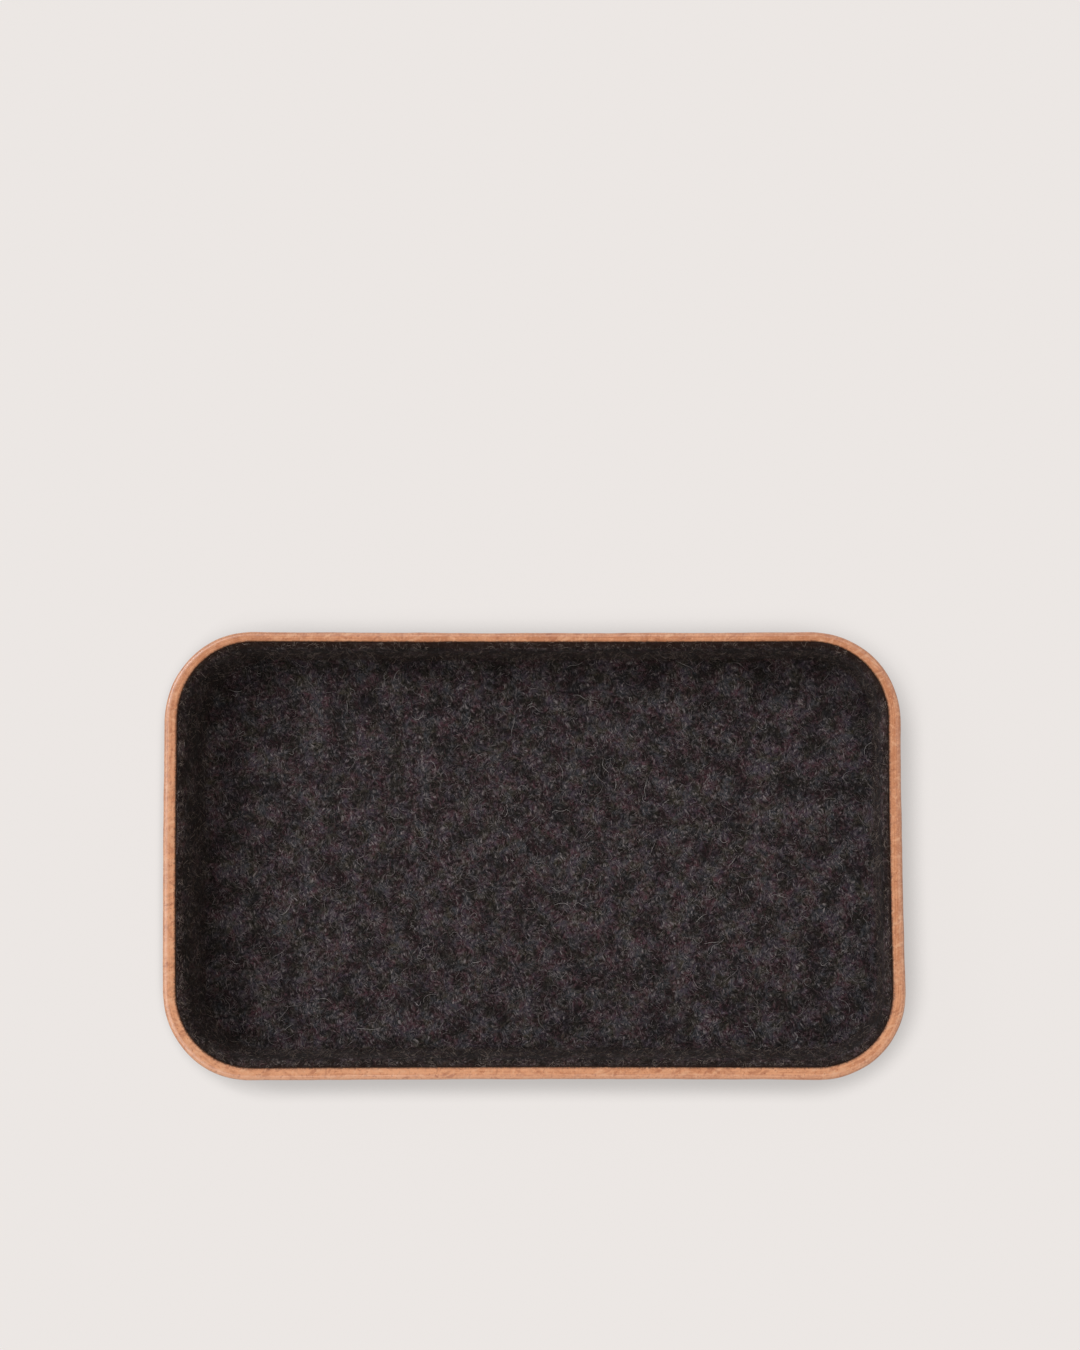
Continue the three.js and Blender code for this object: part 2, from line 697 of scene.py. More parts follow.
class Finish:
    """The nodes of one material or world."""

    def __init__(self, owner):
        owner.use_nodes = True
        self.owner = owner
        self.tree = owner.node_tree
        self.tree.nodes.clear()

    def node(self, kind, settings=None, sockets=None, output=0):
        """Adds a node, sets it up, then fills or links its sockets and gives one of its outputs."""
        made = self.tree.nodes.new(kind)
        for name, value in (settings or {}).items():
            setattr(made, name, value)
        for name, value in (sockets or {}).items():
            if isinstance(value, Signal):
                self.tree.links.new(value.socket, made.inputs[name])
            else:
                made.inputs[name].default_value = value
        return Signal(self, made.outputs[output]) if made.outputs else None

    def place(self):
        """The place on the piece, in metres."""
        return self.node("ShaderNodeTexCoord", output="Object")

    def stored(self, name, output="Fac"):
        """A number or a place that the mesh holds at each vertex."""
        return self.node("ShaderNodeAttribute", {"attribute_name": name}, output=output)

    def seen(self):
        """1 for what the camera sees, straight or mirrored or through glass, and 0 for light that falls."""
        straight = self.node("ShaderNodeLightPath", output="Is Camera Ray")
        mirrored = straight.math("MAXIMUM", straight, straight.other("Is Glossy Ray"))
        return straight.math("MAXIMUM", mirrored, straight.other("Is Transmission Ray"))

    def noise(self, place, size, detail, roughness):
        """A cloudy pattern whose lumps are about the given size."""
        sockets = {"Vector": place, "Scale": 1 / size, "Detail": detail, "Roughness": roughness}
        return self.node("ShaderNodeTexNoise", {}, sockets)

    def vector(self, operation, sockets):
        """One step of vector maths."""
        return self.node("ShaderNodeVectorMath", {"operation": operation}, sockets)

    def bump(self, strength, depth, height):
        """Fine relief that turns the light and leaves the shape as it is."""
        sockets = {"Strength": strength, "Distance": depth, "Height": height}
        return self.node("ShaderNodeBump", {}, sockets)

    def bent(self, place, size, reach):
        """A place pushed about by a cloudy pattern, so that straight patterns curl."""
        sockets = {"Vector": place, "Scale": 1 / size, "Detail": 1.0}
        push = self.node("ShaderNodeTexNoise", {}, sockets, output="Color")
        middle = self.vector("SUBTRACT", {0: push, 1: (0.5, 0.5, 0.5)})
        reached = self.vector("SCALE", {0: middle, "Scale": 2 * reach})
        return self.vector("ADD", {0: place, 1: reached})

    def laid_fibres(self, place, turn, length, width):
        """Short fibres laid one way: where they are, and two chances that differ from fibre to fibre."""
        laid = self.node(
            "ShaderNodeMapping",
            {"vector_type": "TEXTURE"},
            {"Vector": place, "Rotation": (0, 0, turn), "Scale": (length, width, width)},
        )
        cell = self.node("ShaderNodeTexVoronoi", {}, {"Vector": laid, "Scale": 1.0}, output="Distance")
        mark = 1 - self.between(cell, FIBRE_WHOLE, FIBRE_END)
        chance = self.node("ShaderNodeSeparateColor", {}, {0: cell.other("Color")}, output="Red")
        return mark, chance ** 3, chance.other("Green")

    def hidden_sky(self, reach, lean):
        """How much of the sky about a leaning direction is hidden by what stands within reach."""
        up = self.node("ShaderNodeCombineXYZ", {}, dict(zip("XYZ", lean.normalized())))
        open_sky = self.node(
            "ShaderNodeAmbientOcclusion", {}, {"Distance": reach, "Normal": up}, output="AO"
        )
        return 1 - open_sky

    def between(self, value, low, high):
        """A smooth climb from 0 at low to 1 at high."""
        settings = {"interpolation_type": "SMOOTHSTEP"}
        sockets = {"Value": value, "From Min": low, "From Max": high}
        return self.node("ShaderNodeMapRange", settings, sockets)

    def mix(self, share, first, second):
        """A colour between two others."""
        settings = {"data_type": "RGBA"}
        sockets = {"Factor": share, 6: opaque(first), 7: opaque(second)}
        return self.node("ShaderNodeMix", settings, sockets, output=2)

    def surface(self, constants, **varying):
        """The material's surface shader, with what is the same all over it and what varies."""
        sockets = dict(constants)
        sockets.update({name.replace("_", " "): value for name, value in varying.items()})
        shader = self.node("ShaderNodeBsdfPrincipled", {}, sockets)
        self.node("ShaderNodeOutputMaterial", {}, {"Surface": shader})
        return self.owner


def opaque(colour):
    """A colour with full alpha, or a linked colour as it is."""
    return colour if isinstance(colour, Signal) else (*colour, 1)


# Materials

# The felt's fibres: how far each layer is turned in plan, how long and how wide its fibres are in
# millimetres, and how pale the palest of them get
FELT_LAYERS = (
    (0.3, 1.6, 0.50, 0.3),
    (1.4, 1.5, 0.46, 0.3),
    (2.3, 1.5, 0.46, 0.4),
    (2.9, 1.7, 0.44, 0.4),
    (0.9, 1.6, 0.40, 0.7),
    (1.9, 1.9, 0.38, 0.9),
)
# How broad the felt's plum and grey heather, its bluish heather, its clumps and its tufts are
HEATHER_SIZE = 5 * MM
SLATE_SIZE = 4 * MM
FELT_CLUMP = 8 * MM
FELT_TUFT = 1.3 * MM

# The leather's cut edge: how far each layer of fibres is turned in plan, how long and wide they are in
# millimetres, and how strongly they show
EDGE_LAYERS = (
    (0.42, 4.4, 1.15, 0.75),
    (2.6, 3.0, 1.00, 0.50),
    (1.3, 2.0, 0.80, 0.50),
)
# How broad the hide's patches, clouds and fine tooth are, the cells of its grain, and the specks and
# pits of its cut edge
HIDE_PATCH = 26 * MM
HIDE_CLOUD = 5 * MM
HIDE_TOOTH = 0.55 * MM
GRAIN_CELL = 0.8 * MM
EDGE_SPECK = 0.65 * MM
EDGE_PIT = 0.9 * MM
# Lines along the cut edge: how often they change along a metre and across the rim, and how broad one is
LINES_ALONG = 40.0
LINES_ACROSS_X, LINES_ACROSS_Y = 9, 5
LINE_SIZE = 0.9
# How patterns are bent: the size of the waves, and how far they reach
GRAIN_BEND = (1.5 * MM, 0.3 * MM)
EDGE_BEND = (4 * MM, 0.5 * MM)
FELT_BEND = (4 * MM, 1.6 * MM)
# How far below the rim the cut edge begins to show, and where it is all there is
CUT_BEGINS, CUT_FULL = 1.4 * MM, 0.9 * MM
# Where zones of the rim begin and end across it: the outer line of painted shade, the rubbed shoulder, and
# the painted shade in the crevice of the inner corner
OUTER_SHADE_ZONE = (0.11, 0.19)
RUBBED_ZONE = (0.28, 0.5)
CREVICE_ZONE = (0.98, 1.17)
CEMENT_LUMP = 1.2 * MM

# Painted light falloff: how much paler the leather is painted towards the left and the front, per metre
PALER_LEFT = -0.2
PALER_FRONT = -0.6


def leather_finish():
    """Vegetable-tanned leather: fine grain outside, a burnished and fibrous cut edge along the rim."""
    sizes, colours = bpy.context.scene.tray_sizes, bpy.context.scene.tray_colours
    finish = Finish(bpy.data.materials.new("leather_tan"))
    place = finish.place()
    height = finish.node("ShaderNodeSeparateXYZ", {}, {0: place}, output="Z")
    # Painted light falloff: the rim is painted paler towards the left and front, where more light falls
    paler = PALER_LEFT * height.other("X") + PALER_FRONT * height.other("Y")
    across = finish.stored("across_rim")
    patches = finish.noise(place, HIDE_PATCH, 4, 0.6)
    clouds = finish.noise(place, HIDE_CLOUD, 4, 0.6)
    fine = finish.noise(place, HIDE_TOOTH, 3, 0.65)

    cells = finish.node(
        "ShaderNodeTexVoronoi",
        {"feature": "DISTANCE_TO_EDGE"},
        {"Vector": finish.bent(place, *GRAIN_BEND), "Scale": 1 / GRAIN_CELL},
    )
    creases = 1 - finish.between(cells, 0.0, 0.18)
    grain_shade = finish.between(0.6 * patches + 0.4 * clouds, 0.3, 0.7)
    grain = finish.mix(grain_shade, colours.grain_deep, colours.grain_tan)
    grain = finish.mix(0.4 * creases, grain, colours.grain_deep)

    bent = finish.bent(place, *EDGE_BEND)
    long_way = finish.vector("SCALE", {0: place, "Scale": LINES_ALONG})
    steps = {"X": LINES_ACROSS_X * across, "Y": LINES_ACROSS_Y * across}
    cross_way = finish.node("ShaderNodeCombineXYZ", {}, steps)
    lines = finish.noise(finish.vector("ADD", {0: long_way, 1: cross_way}), LINE_SIZE, 3, 0.6)
    tone = finish.between(0.3 * clouds + 0.4 * lines + 0.3 * fine + paler, 0.41, 0.59)
    edge = finish.mix(tone, colours.edge_tan, colours.edge_pale)
    relief = 0.4 * fine + 0.3 * lines
    for turn, length, width, strength in EDGE_LAYERS:
        mark, _, shade = finish.laid_fibres(bent, turn, length * MM, width * MM)
        fibre = finish.mix(shade, colours.edge_deep, colours.edge_bare)
        edge = finish.mix(strength * mark * abs(2 * shade - 1), edge, fibre)
        relief = relief + 0.3 * mark * shade
    specks = finish.between(finish.noise(place, EDGE_SPECK, 2, 0.6), 0.60, 0.70)
    edge = finish.mix(0.65 * specks, edge, colours.edge_bare)
    pits = finish.between(finish.noise(bent, EDGE_PIT, 2, 0.6), 0.62, 0.70)
    edge = finish.mix(0.6 * pits, edge, colours.edge_deep)
    # Painted shade: a darker line along the rim's rounded outer edge, where it turns from the light
    outer = 1 - finish.between(across + 0.12 * fine, *OUTER_SHADE_ZONE)
    edge = finish.mix(0.45 * outer, edge, colours.grain_deep)
    # Painted shade in the crevice where the rim's inner corner meets the felt
    inner = finish.between(across + 0.35 * fine, *CREVICE_ZONE)
    edge = finish.mix(0.92 * inner, edge, colours.edge_sealed)

    cut = finish.between(height, sizes.height - CUT_BEGINS, sizes.height - CUT_FULL)
    colour = finish.mix(cut, grain, edge)
    rubbed = 1 - finish.between(across, *RUBBED_ZONE)
    height_map = (0.6 * clouds - 0.5 * creases) * (1 - cut)
    height_map = height_map + (relief - 0.5 * pits) * cut * (1 - 0.85 * rubbed)
    bump = finish.bump(0.4, 0.2 * MM, height_map)
    roughness = 0.52 - 0.06 * cut + 0.12 * (1 - grain_shade) + 0.12 * fine
    burnished = 0.55 + 0.4 * finish.between(lines, 0.4, 0.6)
    gloss = cut * rubbed * burnished
    constants = {"Specular IOR Level": 0.35, "Coat Roughness": 0.12, "Coat IOR": 1.8}
    return finish.surface(
        constants, Base_Color=colour, Roughness=roughness, Coat_Weight=gloss, Normal=bump
    )


def felt_finish():
    """Charcoal wool felt: layers of short fibres laid every way, in heathered shades over dark hollows."""
    colours = bpy.context.scene.tray_colours
    finish = Finish(bpy.data.materials.new("felt_charcoal"))
    place = finish.stored("laid_flat", "Vector")
    bent = finish.bent(place, *FELT_BEND)

    off_floor = finish.stored("off_floor")
    tint = finish.between(finish.noise(place, HEATHER_SIZE, 3, 0.6), 0.4, 0.6)
    wool = finish.mix(tint, colours.felt_warm, colours.felt_cool)
    slate = finish.between(finish.noise(bent, SLATE_SIZE, 3, 0.6), 0.4, 0.6)
    wool = finish.mix(0.6 * slate, wool, colours.felt_slate)
    # Painted light: the walls and cut edge are browned to stand for warm light bounced off the leather
    wool = finish.mix(0.55 * off_floor, wool, colours.felt_brown)
    broad = finish.noise(place, FELT_CLUMP, 3, 0.55)
    tufts = finish.noise(bent, FELT_TUFT, 3, 0.7)
    # Painted shade: the clumps are darker on the walls and cut edge
    clumps = (0.45 * broad + 0.55 * tufts - 0.5) * (1 + 0.8 * off_floor) - 0.045 * off_floor
    fullness = finish.between(clumps, -0.085, 0.085)
    colour = finish.mix(fullness, colours.felt_black, wool)
    relief = fullness
    for turn, length, width, lightness in FELT_LAYERS:
        mark, chance, shade = finish.laid_fibres(bent, turn, length * MM, width * MM)
        fibre = finish.mix(shade, colours.felt_black, wool)
        fibre = finish.mix(lightness * chance, fibre, colours.felt_pale)
        colour = finish.mix(mark, colour, fibre)
        relief = relief + 0.25 * mark
    colour = finish.mix(0.75 * (1 - fullness), colour, colours.felt_black)
    # Painted shade: the walls and cut edge are darkened towards a warm brown
    colour = finish.mix(0.15 * off_floor, colour, colours.felt_stain)
    # Painted shade in the crevice next to the leather, in the same warm brown
    colour = finish.mix(0.7 * finish.stored("stained"), colour, colours.felt_stain)
    bump = finish.bump(0.5, 0.3 * MM, relief)
    constants = {
        "Roughness": 0.95,
        "Specular IOR Level": 0.1,
        "Sheen Weight": 0.02,
        "Sheen Roughness": 0.6,
    }
    return finish.surface(constants, Base_Color=colour, Normal=bump)


def cement_finish():
    """Dried contact cement: dark, lumpy and dull."""
    colours = bpy.context.scene.tray_colours
    finish = Finish(bpy.data.materials.new("cement_dried"))
    lumps = finish.noise(finish.place(), CEMENT_LUMP, 3, 0.6)
    colour = finish.mix(lumps, colours.cement, colours.felt_black)
    bump = finish.bump(0.5, 0.1 * MM, lumps)
    return finish.surface({"Roughness": 0.7}, Base_Color=colour, Normal=bump)


def fibre_finish(name, dark, pale):
    """Loose wool, each fibre of its own shade."""
    finish = Finish(bpy.data.materials.new(name))
    colour = finish.mix(finish.stored("shade"), dark, pale)
    constants = {"Roughness": 0.8, "Specular IOR Level": 0.3}
    return finish.surface(constants, Base_Color=colour)


# Pieces

# How finely each layer is cut before it is smoothed
LEATHER_CELL = 5 * MM
CEMENT_CELL = 20 * MM
FELT_CELL = 4 * MM
# The lumps that forming leaves, each as wide and as high as this
LEATHER_LUMPS = (14 * MM, 0.35 * MM)
FELT_LUMPS = ((9 * MM, 0.45 * MM), (2.6 * MM, 0.3 * MM))
# The leather's lumps begin and are full at these shares of the base radius, and keep off its inner face
LUMPS_BEGIN, LUMPS_FULL = 0.3, 1.5
INNER_MARGIN = 0.2 * MM


class TRAY_OT_leather_shell(Operator):
    """Models the wet-formed leather shell with its burnished rim"""

    bl_idname = "tray.leather_shell"
    bl_label = "Leather shell"

    def execute(self, context):
        sizes = context.scene.tray_sizes
        low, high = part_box("leather_shell")
        thickness = sizes.leather_thickness
        piece = pressed_block(
            "tray_leather", low.z, high.z, thickness, sizes.leather_outer_edge, sizes.leather_inner_edge
        )
        neck = high.z - sizes.leather_inner_edge - TOUCH
        swell(piece, neck, thickness / 2, 2 * thickness, -sizes.leather_lip)
        skive(piece, thickness / 2)
        refine(piece, LEATHER_CELL, smoothing=2)
        keep(piece, "across_rim", across_rim(vertex_places(piece)))
        hand_form(piece)
        places, base = vertex_places(piece), sizes.base_radius
        lifted = ramp(places[:, 2], LUMPS_BEGIN * base, LUMPS_FULL * base)
        weigh(piece, "formed", lifted * (plan_inset(places) < thickness - INNER_MARGIN))
        roughen(piece, "formed", *LEATHER_LUMPS)
        settle(piece, leather_finish(), "leather_shell")
        return {"FINISHED"}


class TRAY_OT_bond_film(Operator):
    """Models the coat of cement that joins the felt to the leather"""

    bl_idname = "tray.bond_film"
    bl_label = "Bond film"

    def execute(self, context):
        sizes = context.scene.tray_sizes
        low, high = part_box("bond_film")
        edge = sizes.bond_edge
        piece = pressed_block("tray_cement", low.z, high.z, sizes.bond_thickness, edge, edge)
        skive(piece, 0)
        refine(piece, CEMENT_CELL, smoothing=1)
        hand_form(piece)
        settle(piece, cement_finish(), "bond_film")
        return {"FINISHED"}


# How much the felt's walls were drawn out in forming
FELT_DRAWN = 1.8
# Its tufts of loose fibres: how broad, how thick on the whole, how much that differs, and the thinnest
TUFT_SIZE = 5 * MM
TUFT_LEVEL, TUFT_CONTRAST, TUFT_LEAST = 0.6, 0.8, 0.1
# How much of its inner rounding counts as the cut edge, and how much painted shade and painted light
# bounced off the leather the walls and that edge get
CUT_EDGE_SHARE = 0.8
WALL_SHADE_AND_BOUNCE, EDGE_SHADE_AND_BOUNCE = 0.5, 0.6
# How far in from the leather the cut edge gets full painted shade, and where that shade ends, as shares of
# the felt
RIM_SHADE_FULL, RIM_SHADE_ENDS = 0.1, 0.5
# How much of the flat felt is left once its corners are rounded off
ROUNDED_SHARE = 0.92


class TRAY_OT_felt_liner(Operator):
    """Models the pressed felt liner with its soft surface and cut edge"""

    bl_idname = "tray.felt_liner"
    bl_label = "Felt liner"

    def execute(self, context):
        sizes = context.scene.tray_sizes
        low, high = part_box("felt_liner")
        thickness = sizes.felt_thickness
        piece = pressed_block(
            "tray_felt",
            low.z,
            high.z,
            thickness,
            sizes.felt_outer_edge,
            sizes.felt_inner_edge,
            inner_cuts=1,
        )
        neck = high.z - sizes.felt_outer_edge - TOUCH
        swell(piece, neck, low.z - thickness / 2, low.z + thickness / 2, sizes.felt_lip)
        skive(piece, 0)
        refine(piece, FELT_CELL, smoothing=2)
        cut_inset = plan_inset(vertex_places(piece))
        hand_form(piece)
        places, normals = vertex_places(piece), vertex_normals(piece)
        inwards = -(places * normals)[:, :2].sum(axis=1) / np.linalg.norm(places[:, :2], axis=1)
        open_face = np.maximum(ramp(normals[:, 2], 0, 0.5), ramp(inwards, 0, 0.4))
        on_top = places[:, 2] > high.z - CUT_EDGE_SHARE * sizes.felt_inner_edge
        cloudy = np.array([noise.noise(Vector(place) / TUFT_SIZE) for place in places])
        tufted = np.clip(TUFT_LEVEL + TUFT_CONTRAST * cloudy, TUFT_LEAST, 1)
        keep(piece, "laid_flat", laid_flat(places, low.z + thickness, FELT_DRAWN))
        keep(piece, "on_floor", ramp(normals[:, 2], 0.5, 0.9) * tufted * ~on_top)
        upright = open_face * (1 - ramp(normals[:, 2], 0.3, 0.8))
        keep(piece, "on_walls", upright * ~on_top)
        keep(piece, "on_cut_edge", open_face * on_top)
        keep(piece, "off_floor", np.maximum(WALL_SHADE_AND_BOUNCE * upright, EDGE_SHADE_AND_BOUNCE * open_face * on_top))
        # Painted shade on the cut edge next to the leather
        clear_of_rim = ramp(cut_inset, low.z + RIM_SHADE_FULL * thickness, low.z + RIM_SHADE_ENDS * thickness)
        keep(piece, "stained", on_top * (1 - clear_of_rim))
        weigh(piece, "face", open_face)
        for lumps in FELT_LUMPS:
            roughen(piece, "face", *lumps)
        settle(piece, felt_finish(), "felt_liner")
        return {"FINISHED"}


def declare_felt():
    """Works out the area of the felt as cut flat before it was pressed in, with its corners rounded off;
    nothing uses it.
    """
    sizes = bpy.context.scene.tray_sizes
    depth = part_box("felt_liner")[0].z
    wall = sizes.height - depth - sizes.base_radius / 2
    long_run, short_run = half_sizes(depth, depth)
    flat = (2 * (short_run + wall), 2 * (long_run + wall))
    ROUNDED_SHARE * flat[0] * flat[1]


def straight_fibre(bends, thickness):
    """Models one straight three-sided fibre of unit length along X, cut where it will bend."""
    deselect_all()
    bpy.ops.mesh.primitive_cylinder_add(
        vertices=3, radius=thickness / 2, depth=1, location=(0, 0, 0)
    )
    fibre = bpy.context.object
    bpy.ops.object.mode_set(mode="EDIT")
    cut_across((0, 0, 1), np.linspace(-0.5, 0.5, bends + 1)[1:-1])
    bpy.ops.object.mode_set(mode="OBJECT")
    places = vertex_places(fibre)
    faces = [tuple(face.vertices) for face in fibre.data.polygons]
    bpy.data.objects.remove(fibre)
    return places, faces


def scatter(piece, share, count, rng):
    """Picks random places on a piece, more where a stored share is high, with the normal at each."""
    piece.data.calc_loop_triangles()
    corners = np.empty(3 * len(piece.data.loop_triangles), dtype=int)
    piece.data.loop_triangles.foreach_get("vertices", corners)
    corners = corners.reshape(-1, 3)
    places, normals = vertex_places(piece), vertex_normals(piece)
    first, second, third = (places[corners[:, i]] for i in range(3))
    chance = np.linalg.norm(np.cross(second - first, third - first), axis=1)
    chance *= kept(piece, share)[corners].min(axis=1)
    chosen = rng.choice(len(corners), size=count, p=chance / chance.sum())
    mix = rng.dirichlet((1, 1, 1), size=count)
    spots = np.einsum("ni,nij->nj", mix, places[corners[chosen]])
    ups = np.einsum("ni,nij->nj", mix, normals[corners[chosen]])
    return spots, ups / np.linalg.norm(ups, axis=1, keepdims=True)


class FibreKind(NamedTuple):
    """One kind of loose fibre: where on the felt it grows, how it lies and its two extreme colours."""

    name: str
    grows: str
    lengths: tuple
    bends: int
    arched: float
    standing: float
    curl: float
    dark: str
    pale: str


FIBRE_KINDS = (
    FibreKind("fuzz", "on_floor", (0.9, 2.8), 3, 0.3, 0.15, 1.3, "felt_warm", "felt_pale"),
    FibreKind("stray", "on_floor", (2.5, 7.0), 6, 0.6, 0.1, 2.4, "felt_pale", "fibre_pale"),
    # The wall and cut-edge fibres darken towards the painted warm shade
    FibreKind("wall", "on_walls", (0.8, 2.2), 3, 0.1, 1.0, 1.0, "felt_stain", "wall_pale"),
    FibreKind("edge", "on_cut_edge", (0.8, 2.0), 3, 0.15, 0.1, 1.2, "felt_stain", "edge_wool"),
)

# Fibres lie in paler and darker clumps, which are drawn out up the walls
CLUMP_SIZE = 2 * MM
CLUMP_SHAPE = (1, 1, 0.4)
CLUMP_CONTRAST = 3
CLUMP_PALEST = 3
# The least that a fibre's taper leaves of its thickness, and how far above the rim a fibre may reach
FIBRE_TIP = 0.45
FIBRE_HEADROOM = 0.4 * MM


def clumped(spots):
    """How pale the clump of wool at each spot is, about 1 on the whole."""
    rows = spots * CLUMP_SHAPE / CLUMP_SIZE
    return np.clip([1 + CLUMP_CONTRAST * noise.noise(Vector(row)) for row in rows], 0, CLUMP_PALEST)


def joined_fibres(name, places, faces, shades):
    """Joins copies of one fibre into a piece, each copy with its own shade."""
    copies, stride = places.shape[:2]
    all_faces = [
        tuple(corner + stride * copy for corner in face) for copy in range(copies) for face in faces
    ]
    mesh = bpy.data.meshes.new(name)
    mesh.from_pydata(places.reshape(-1, 3).tolist(), [], all_faces)
    piece = bpy.data.objects.new(name, mesh)
    bpy.context.collection.objects.link(piece)
    keep(piece, "shade", np.repeat(shades, stride))
    make_active(piece)
    bpy.ops.object.mode_set(mode="EDIT")
    bpy.ops.mesh.select_all(action="SELECT")
    bpy.ops.mesh.normals_make_consistent(inside=False)
    bpy.ops.object.mode_set(mode="OBJECT")
    return piece


def loose_fibres(kind, felt, count, thickness, rng):
    """Lays copies of one fibre over the felt, each with its own length, curl and shade."""
    bends = kind.bends
    straight, faces = straight_fibre(bends, thickness)
    spots, ups = scatter(felt, kind.grows, count, rng)
    turn = rng.uniform(0, 2 * np.pi, count)
    side = np.cross(ups, rng.normal(size=(count, 3)))
    side /= np.linalg.norm(side, axis=1, keepdims=True)
    across = np.cross(ups, side)
    length = rng.uniform(*kind.lengths, count) * MM
    bend = rng.normal(0, kind.curl, count)
    wave = rng.normal(0, 0.5 * kind.curl, count)
    arch = rng.uniform(0.2, 1, count) * kind.arched * MM
    stand = rng.uniform(0, kind.standing, count) * length
    sunk = rng.uniform(-0.5, 0.5, count) * thickness

    along = straight[:, 2] + 0.5
    steps = np.linspace(0, 1, bends + 1)
    heading = turn[:, None] + bend[:, None] * (steps - 0.5) + wave[:, None] * np.sin(2 * np.pi * steps)
    run = np.cumsum(np.cos(heading), axis=1) * (length / bends)[:, None]
    drift = np.cumsum(np.sin(heading), axis=1) * (length / bends)[:, None]
    run -= run.mean(axis=1, keepdims=True)
    drift -= drift.mean(axis=1, keepdims=True)
    rise = sunk[:, None] + arch[:, None] * 4 * steps * (1 - steps) + stand[:, None] * steps

    ring = np.rint(along * bends).astype(int)
    taper = FIBRE_TIP + (1 - FIBRE_TIP) * np.sin(np.pi * np.clip(along, 0.06, 0.94))
    out = straight[:, 0] * taper
    over = straight[:, 1] * taper
    facing = heading[:, ring]
    local_run = run[:, ring] - np.sin(facing) * out
    local_drift = drift[:, ring] + np.cos(facing) * out
    local_rise = rise[:, ring] + over
    places = (
        spots[:, None, :]
        + local_run[..., None] * side[:, None, :]
        + local_drift[..., None] * across[:, None, :]
        + local_rise[..., None] * ups[:, None, :]
    )
    low_enough = places[..., 2].max(axis=1) < bpy.context.scene.tray_sizes.height + FIBRE_HEADROOM
    shades = rng.uniform(0, 1, low_enough.sum()) ** 2 * clumped(spots[low_enough])
    return joined_fibres(f"felt_{kind.name}", places[low_enough], faces, np.minimum(shades, 1))


class TRAY_OT_felt_fibres(Operator):
    """Lays loose wool over the felt: fuzz on its floor, walls and cut edge, and longer pale strays"""

    bl_idname = "tray.felt_fibres"
    bl_label = "Loose fibres"

    def execute(self, context):
        settings, colours = context.scene.tray_fibres, context.scene.tray_colours
        felt = bpy.data.objects["tray_felt"]
        rng = np.random.default_rng(settings.seed)
        for kind in FIBRE_KINDS:
            count = getattr(settings, f"{kind.name}_count")
            piece = loose_fibres(kind, felt, count, settings.thickness, rng)
            dark, pale = getattr(colours, kind.dark), getattr(colours, kind.pale)
            settle(piece, fibre_finish(piece.name, dark, pale), None)
        declare_felt()
        return {"FINISHED"}


# The stage

FLOOR_SIZE = 8
SKY_SHARE = 0.46
SKY_COLOUR = (1.04, 0.98, 0.90)
LIGHT_COLOUR = (0.96, 1.01, 1.08)
# Each soft light: the way to it, how wide it spreads and how much of the floor's light it gives
SOFT_LIGHTS = (
    ("key", Vector((-0.34, 0.22, 1.0)), math.radians(70), 0.42),
    ("side", Vector((-0.88, 0.42, 1.0)), math.radians(20), 0.12),
)
CAMERA_PLACE = Vector((60.4, 4.5, 641.3)) * MM
CAMERA_YAW = math.radians(4.03)
CAMERA_LENS = 56.38
CAMERA_SHIFT = (-0.035, 0.1223)
# The close shadow on the floor: how far it reaches, the two ways it leans, how much of the sky the tray
# hides where the shadow begins and where it is fullest, and how dark it gets
SHADOW_REACH = 13 * MM
SHADOW_LEANS = (Vector((-0.03, 0.28, 1.0)), Vector((1.2, 0.28, 1.0)))
SHADOW_FROM, SHADOW_TO = 0.014, 0.391
SHADOW_DEPTH = 0.36
# Under the tray's rounded base the shadow goes on to this depth
CONTACT_DEPTH = 0.75
# How much of what the camera sees of the floor is an even light of its own
PLAIN_SHARE = 0.96


def floor_finish():
    """A pale matt floor, seen mostly by an even light of its own, with a close soft shadow."""
    colours = bpy.context.scene.tray_colours
    finish = Finish(bpy.data.materials.new("floor_pale"))
    first, second = (finish.hidden_sky(SHADOW_REACH, lean) for lean in SHADOW_LEANS)
    hidden = first.math("MAXIMUM", first, second)
    matt = finish.node("ShaderNodeBsdfDiffuse", {}, {"Color": opaque(colours.floor)})
    beside = finish.between(hidden, SHADOW_FROM, SHADOW_TO)
    under = finish.between(hidden, SHADOW_TO, 1.0)
    shadow = SHADOW_DEPTH * beside + (CONTACT_DEPTH - SHADOW_DEPTH) * under
    tone = finish.mix(shadow, colours.floor, (0, 0, 0))
    plain = finish.node("ShaderNodeEmission", {}, {"Color": tone, "Strength": 1.0})
    both = finish.node("ShaderNodeMixShader", {}, {0: PLAIN_SHARE * finish.seen(), 1: matt, 2: plain})
    finish.node("ShaderNodeOutputMaterial", {}, {"Surface": both})
    return finish.owner


def sky_light():
    """An even white sky that lights the tray, and shows the floor's colour to the camera."""
    colours = bpy.context.scene.tray_colours
    world = bpy.data.worlds.new("studio")
    bpy.context.scene.world = world
    finish = Finish(world)
    sky = finish.node("ShaderNodeBackground", {}, {"Color": opaque(SKY_COLOUR), "Strength": SKY_SHARE})
    backdrop = finish.node("ShaderNodeBackground", {}, {"Color": opaque(colours.floor)})
    both = finish.node("ShaderNodeMixShader", {}, {0: finish.seen(), 1: sky, 2: backdrop})
    finish.node("ShaderNodeOutputWorld", {}, {"Surface": both})


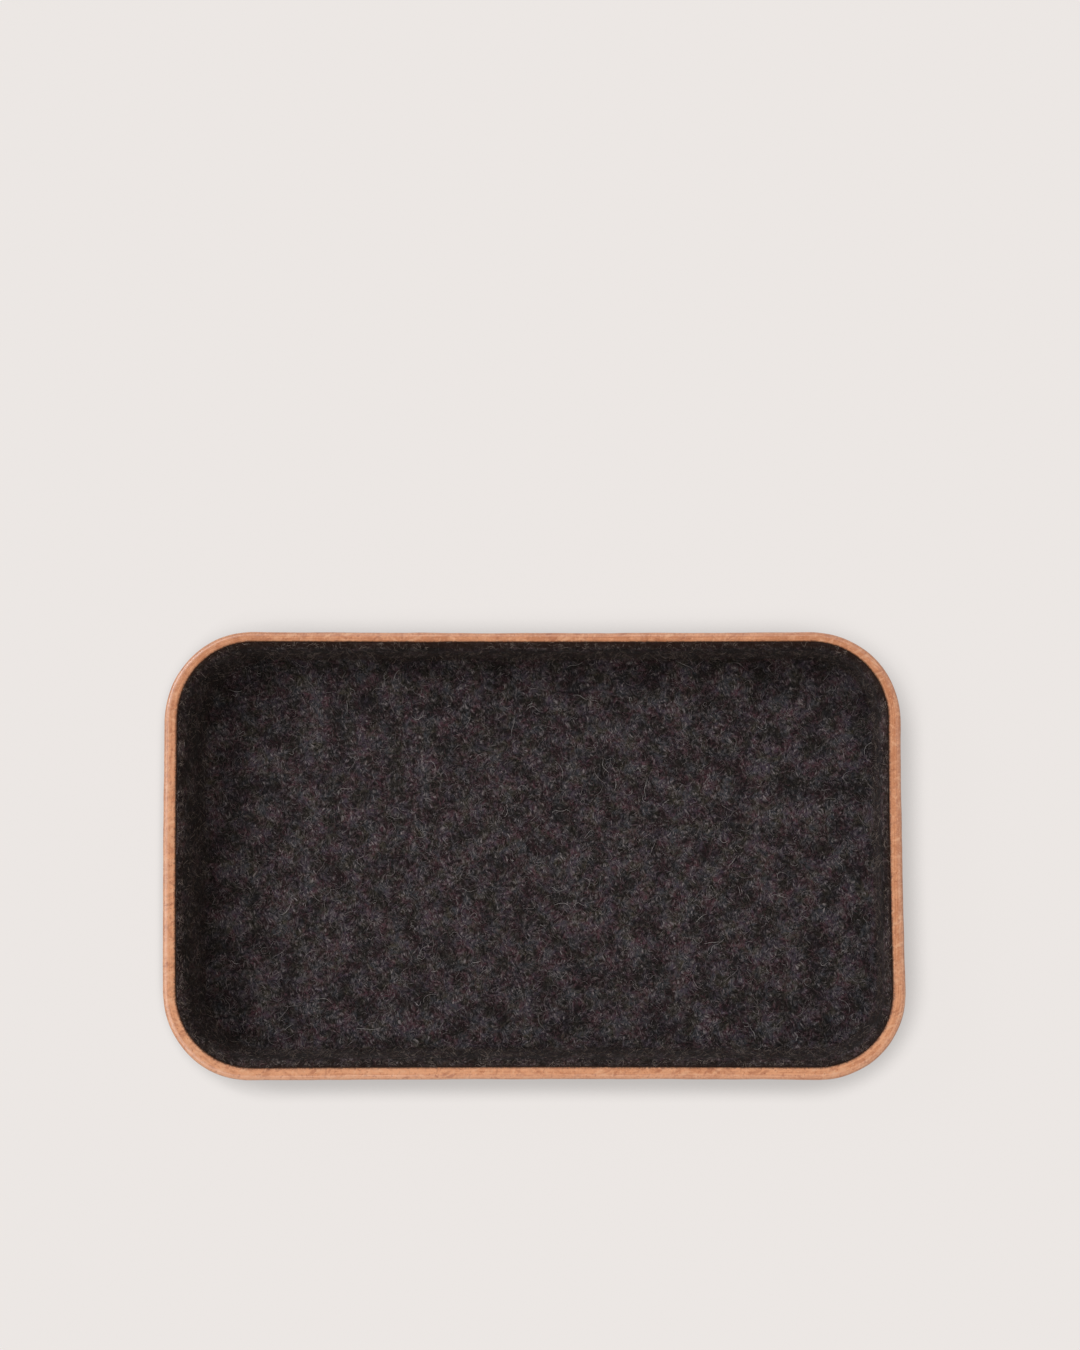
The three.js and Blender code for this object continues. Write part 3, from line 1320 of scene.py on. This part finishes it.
class TRAY_OT_stage(Operator):
    """Sets up the floor, the soft light and the camera"""

    bl_idname = "tray.stage"
    bl_label = "Stage"

    def execute(self, context):
        deselect_all()
        bpy.ops.mesh.primitive_plane_add(size=FLOOR_SIZE, location=(0, 0, 0))
        floor = context.object
        floor.name = "floor"
        floor.data.materials.append(floor_finish())
        sky_light()

        for name, way, spread, share in SOFT_LIGHTS:
            aim = way.normalized()
            bpy.ops.object.light_add(type="SUN", location=aim)
            light = context.object
            light.name = name
            light.rotation_euler = aim.to_track_quat("Z", "Y").to_euler()
            light.data.angle = spread
            light.data.color = LIGHT_COLOUR
            light.data.energy = share * math.pi / aim.z

        bpy.ops.object.camera_add(location=CAMERA_PLACE, rotation=(0, CAMERA_YAW, 0))
        camera = context.object
        camera.name = "camera"
        camera.data.lens = CAMERA_LENS
        camera.data.shift_x, camera.data.shift_y = CAMERA_SHIFT
        context.scene.camera = camera
        context.scene.view_settings.view_transform = "Standard"
        return {"FINISHED"}


class TRAY_PT_panel(Panel):
    """Lists the tray's pieces, sizes and colours in the sidebar"""

    bl_idname = "TRAY_PT_panel"
    bl_label = "Felt-lined leather tray"
    bl_space_type = "VIEW_3D"
    bl_region_type = "UI"
    bl_category = "Tray"

    def draw(self, context):
        for operator in OPERATORS:
            self.layout.operator(operator.bl_idname)
        for group in (context.scene.tray_sizes, context.scene.tray_colours, context.scene.tray_fibres):
            box = self.layout.box()
            for name in group.__annotations__:
                box.prop(group, name)


GROUPS = (TraySizes, TrayColours, FibreSettings)
OPERATORS = (
    TRAY_OT_stage,
    TRAY_OT_leather_shell,
    TRAY_OT_bond_film,
    TRAY_OT_felt_liner,
    TRAY_OT_felt_fibres,
)


def register():
    for kind in (*GROUPS, *OPERATORS, TRAY_PT_panel):
        bpy.utils.register_class(kind)
    bpy.types.Scene.tray_sizes = PointerProperty(type=TraySizes)
    bpy.types.Scene.tray_colours = PointerProperty(type=TrayColours)
    bpy.types.Scene.tray_fibres = PointerProperty(type=FibreSettings)


def unregister():
    del bpy.types.Scene.tray_fibres
    del bpy.types.Scene.tray_colours
    del bpy.types.Scene.tray_sizes
    for kind in reversed((*GROUPS, *OPERATORS, TRAY_PT_panel)):
        bpy.utils.unregister_class(kind)


def main():
    register()
    bpy.ops.tray.stage()
    bpy.ops.tray.leather_shell()
    bpy.ops.tray.bond_film()
    bpy.ops.tray.felt_liner()
    bpy.ops.tray.felt_fibres()


if __name__ == "__main__":
    main()
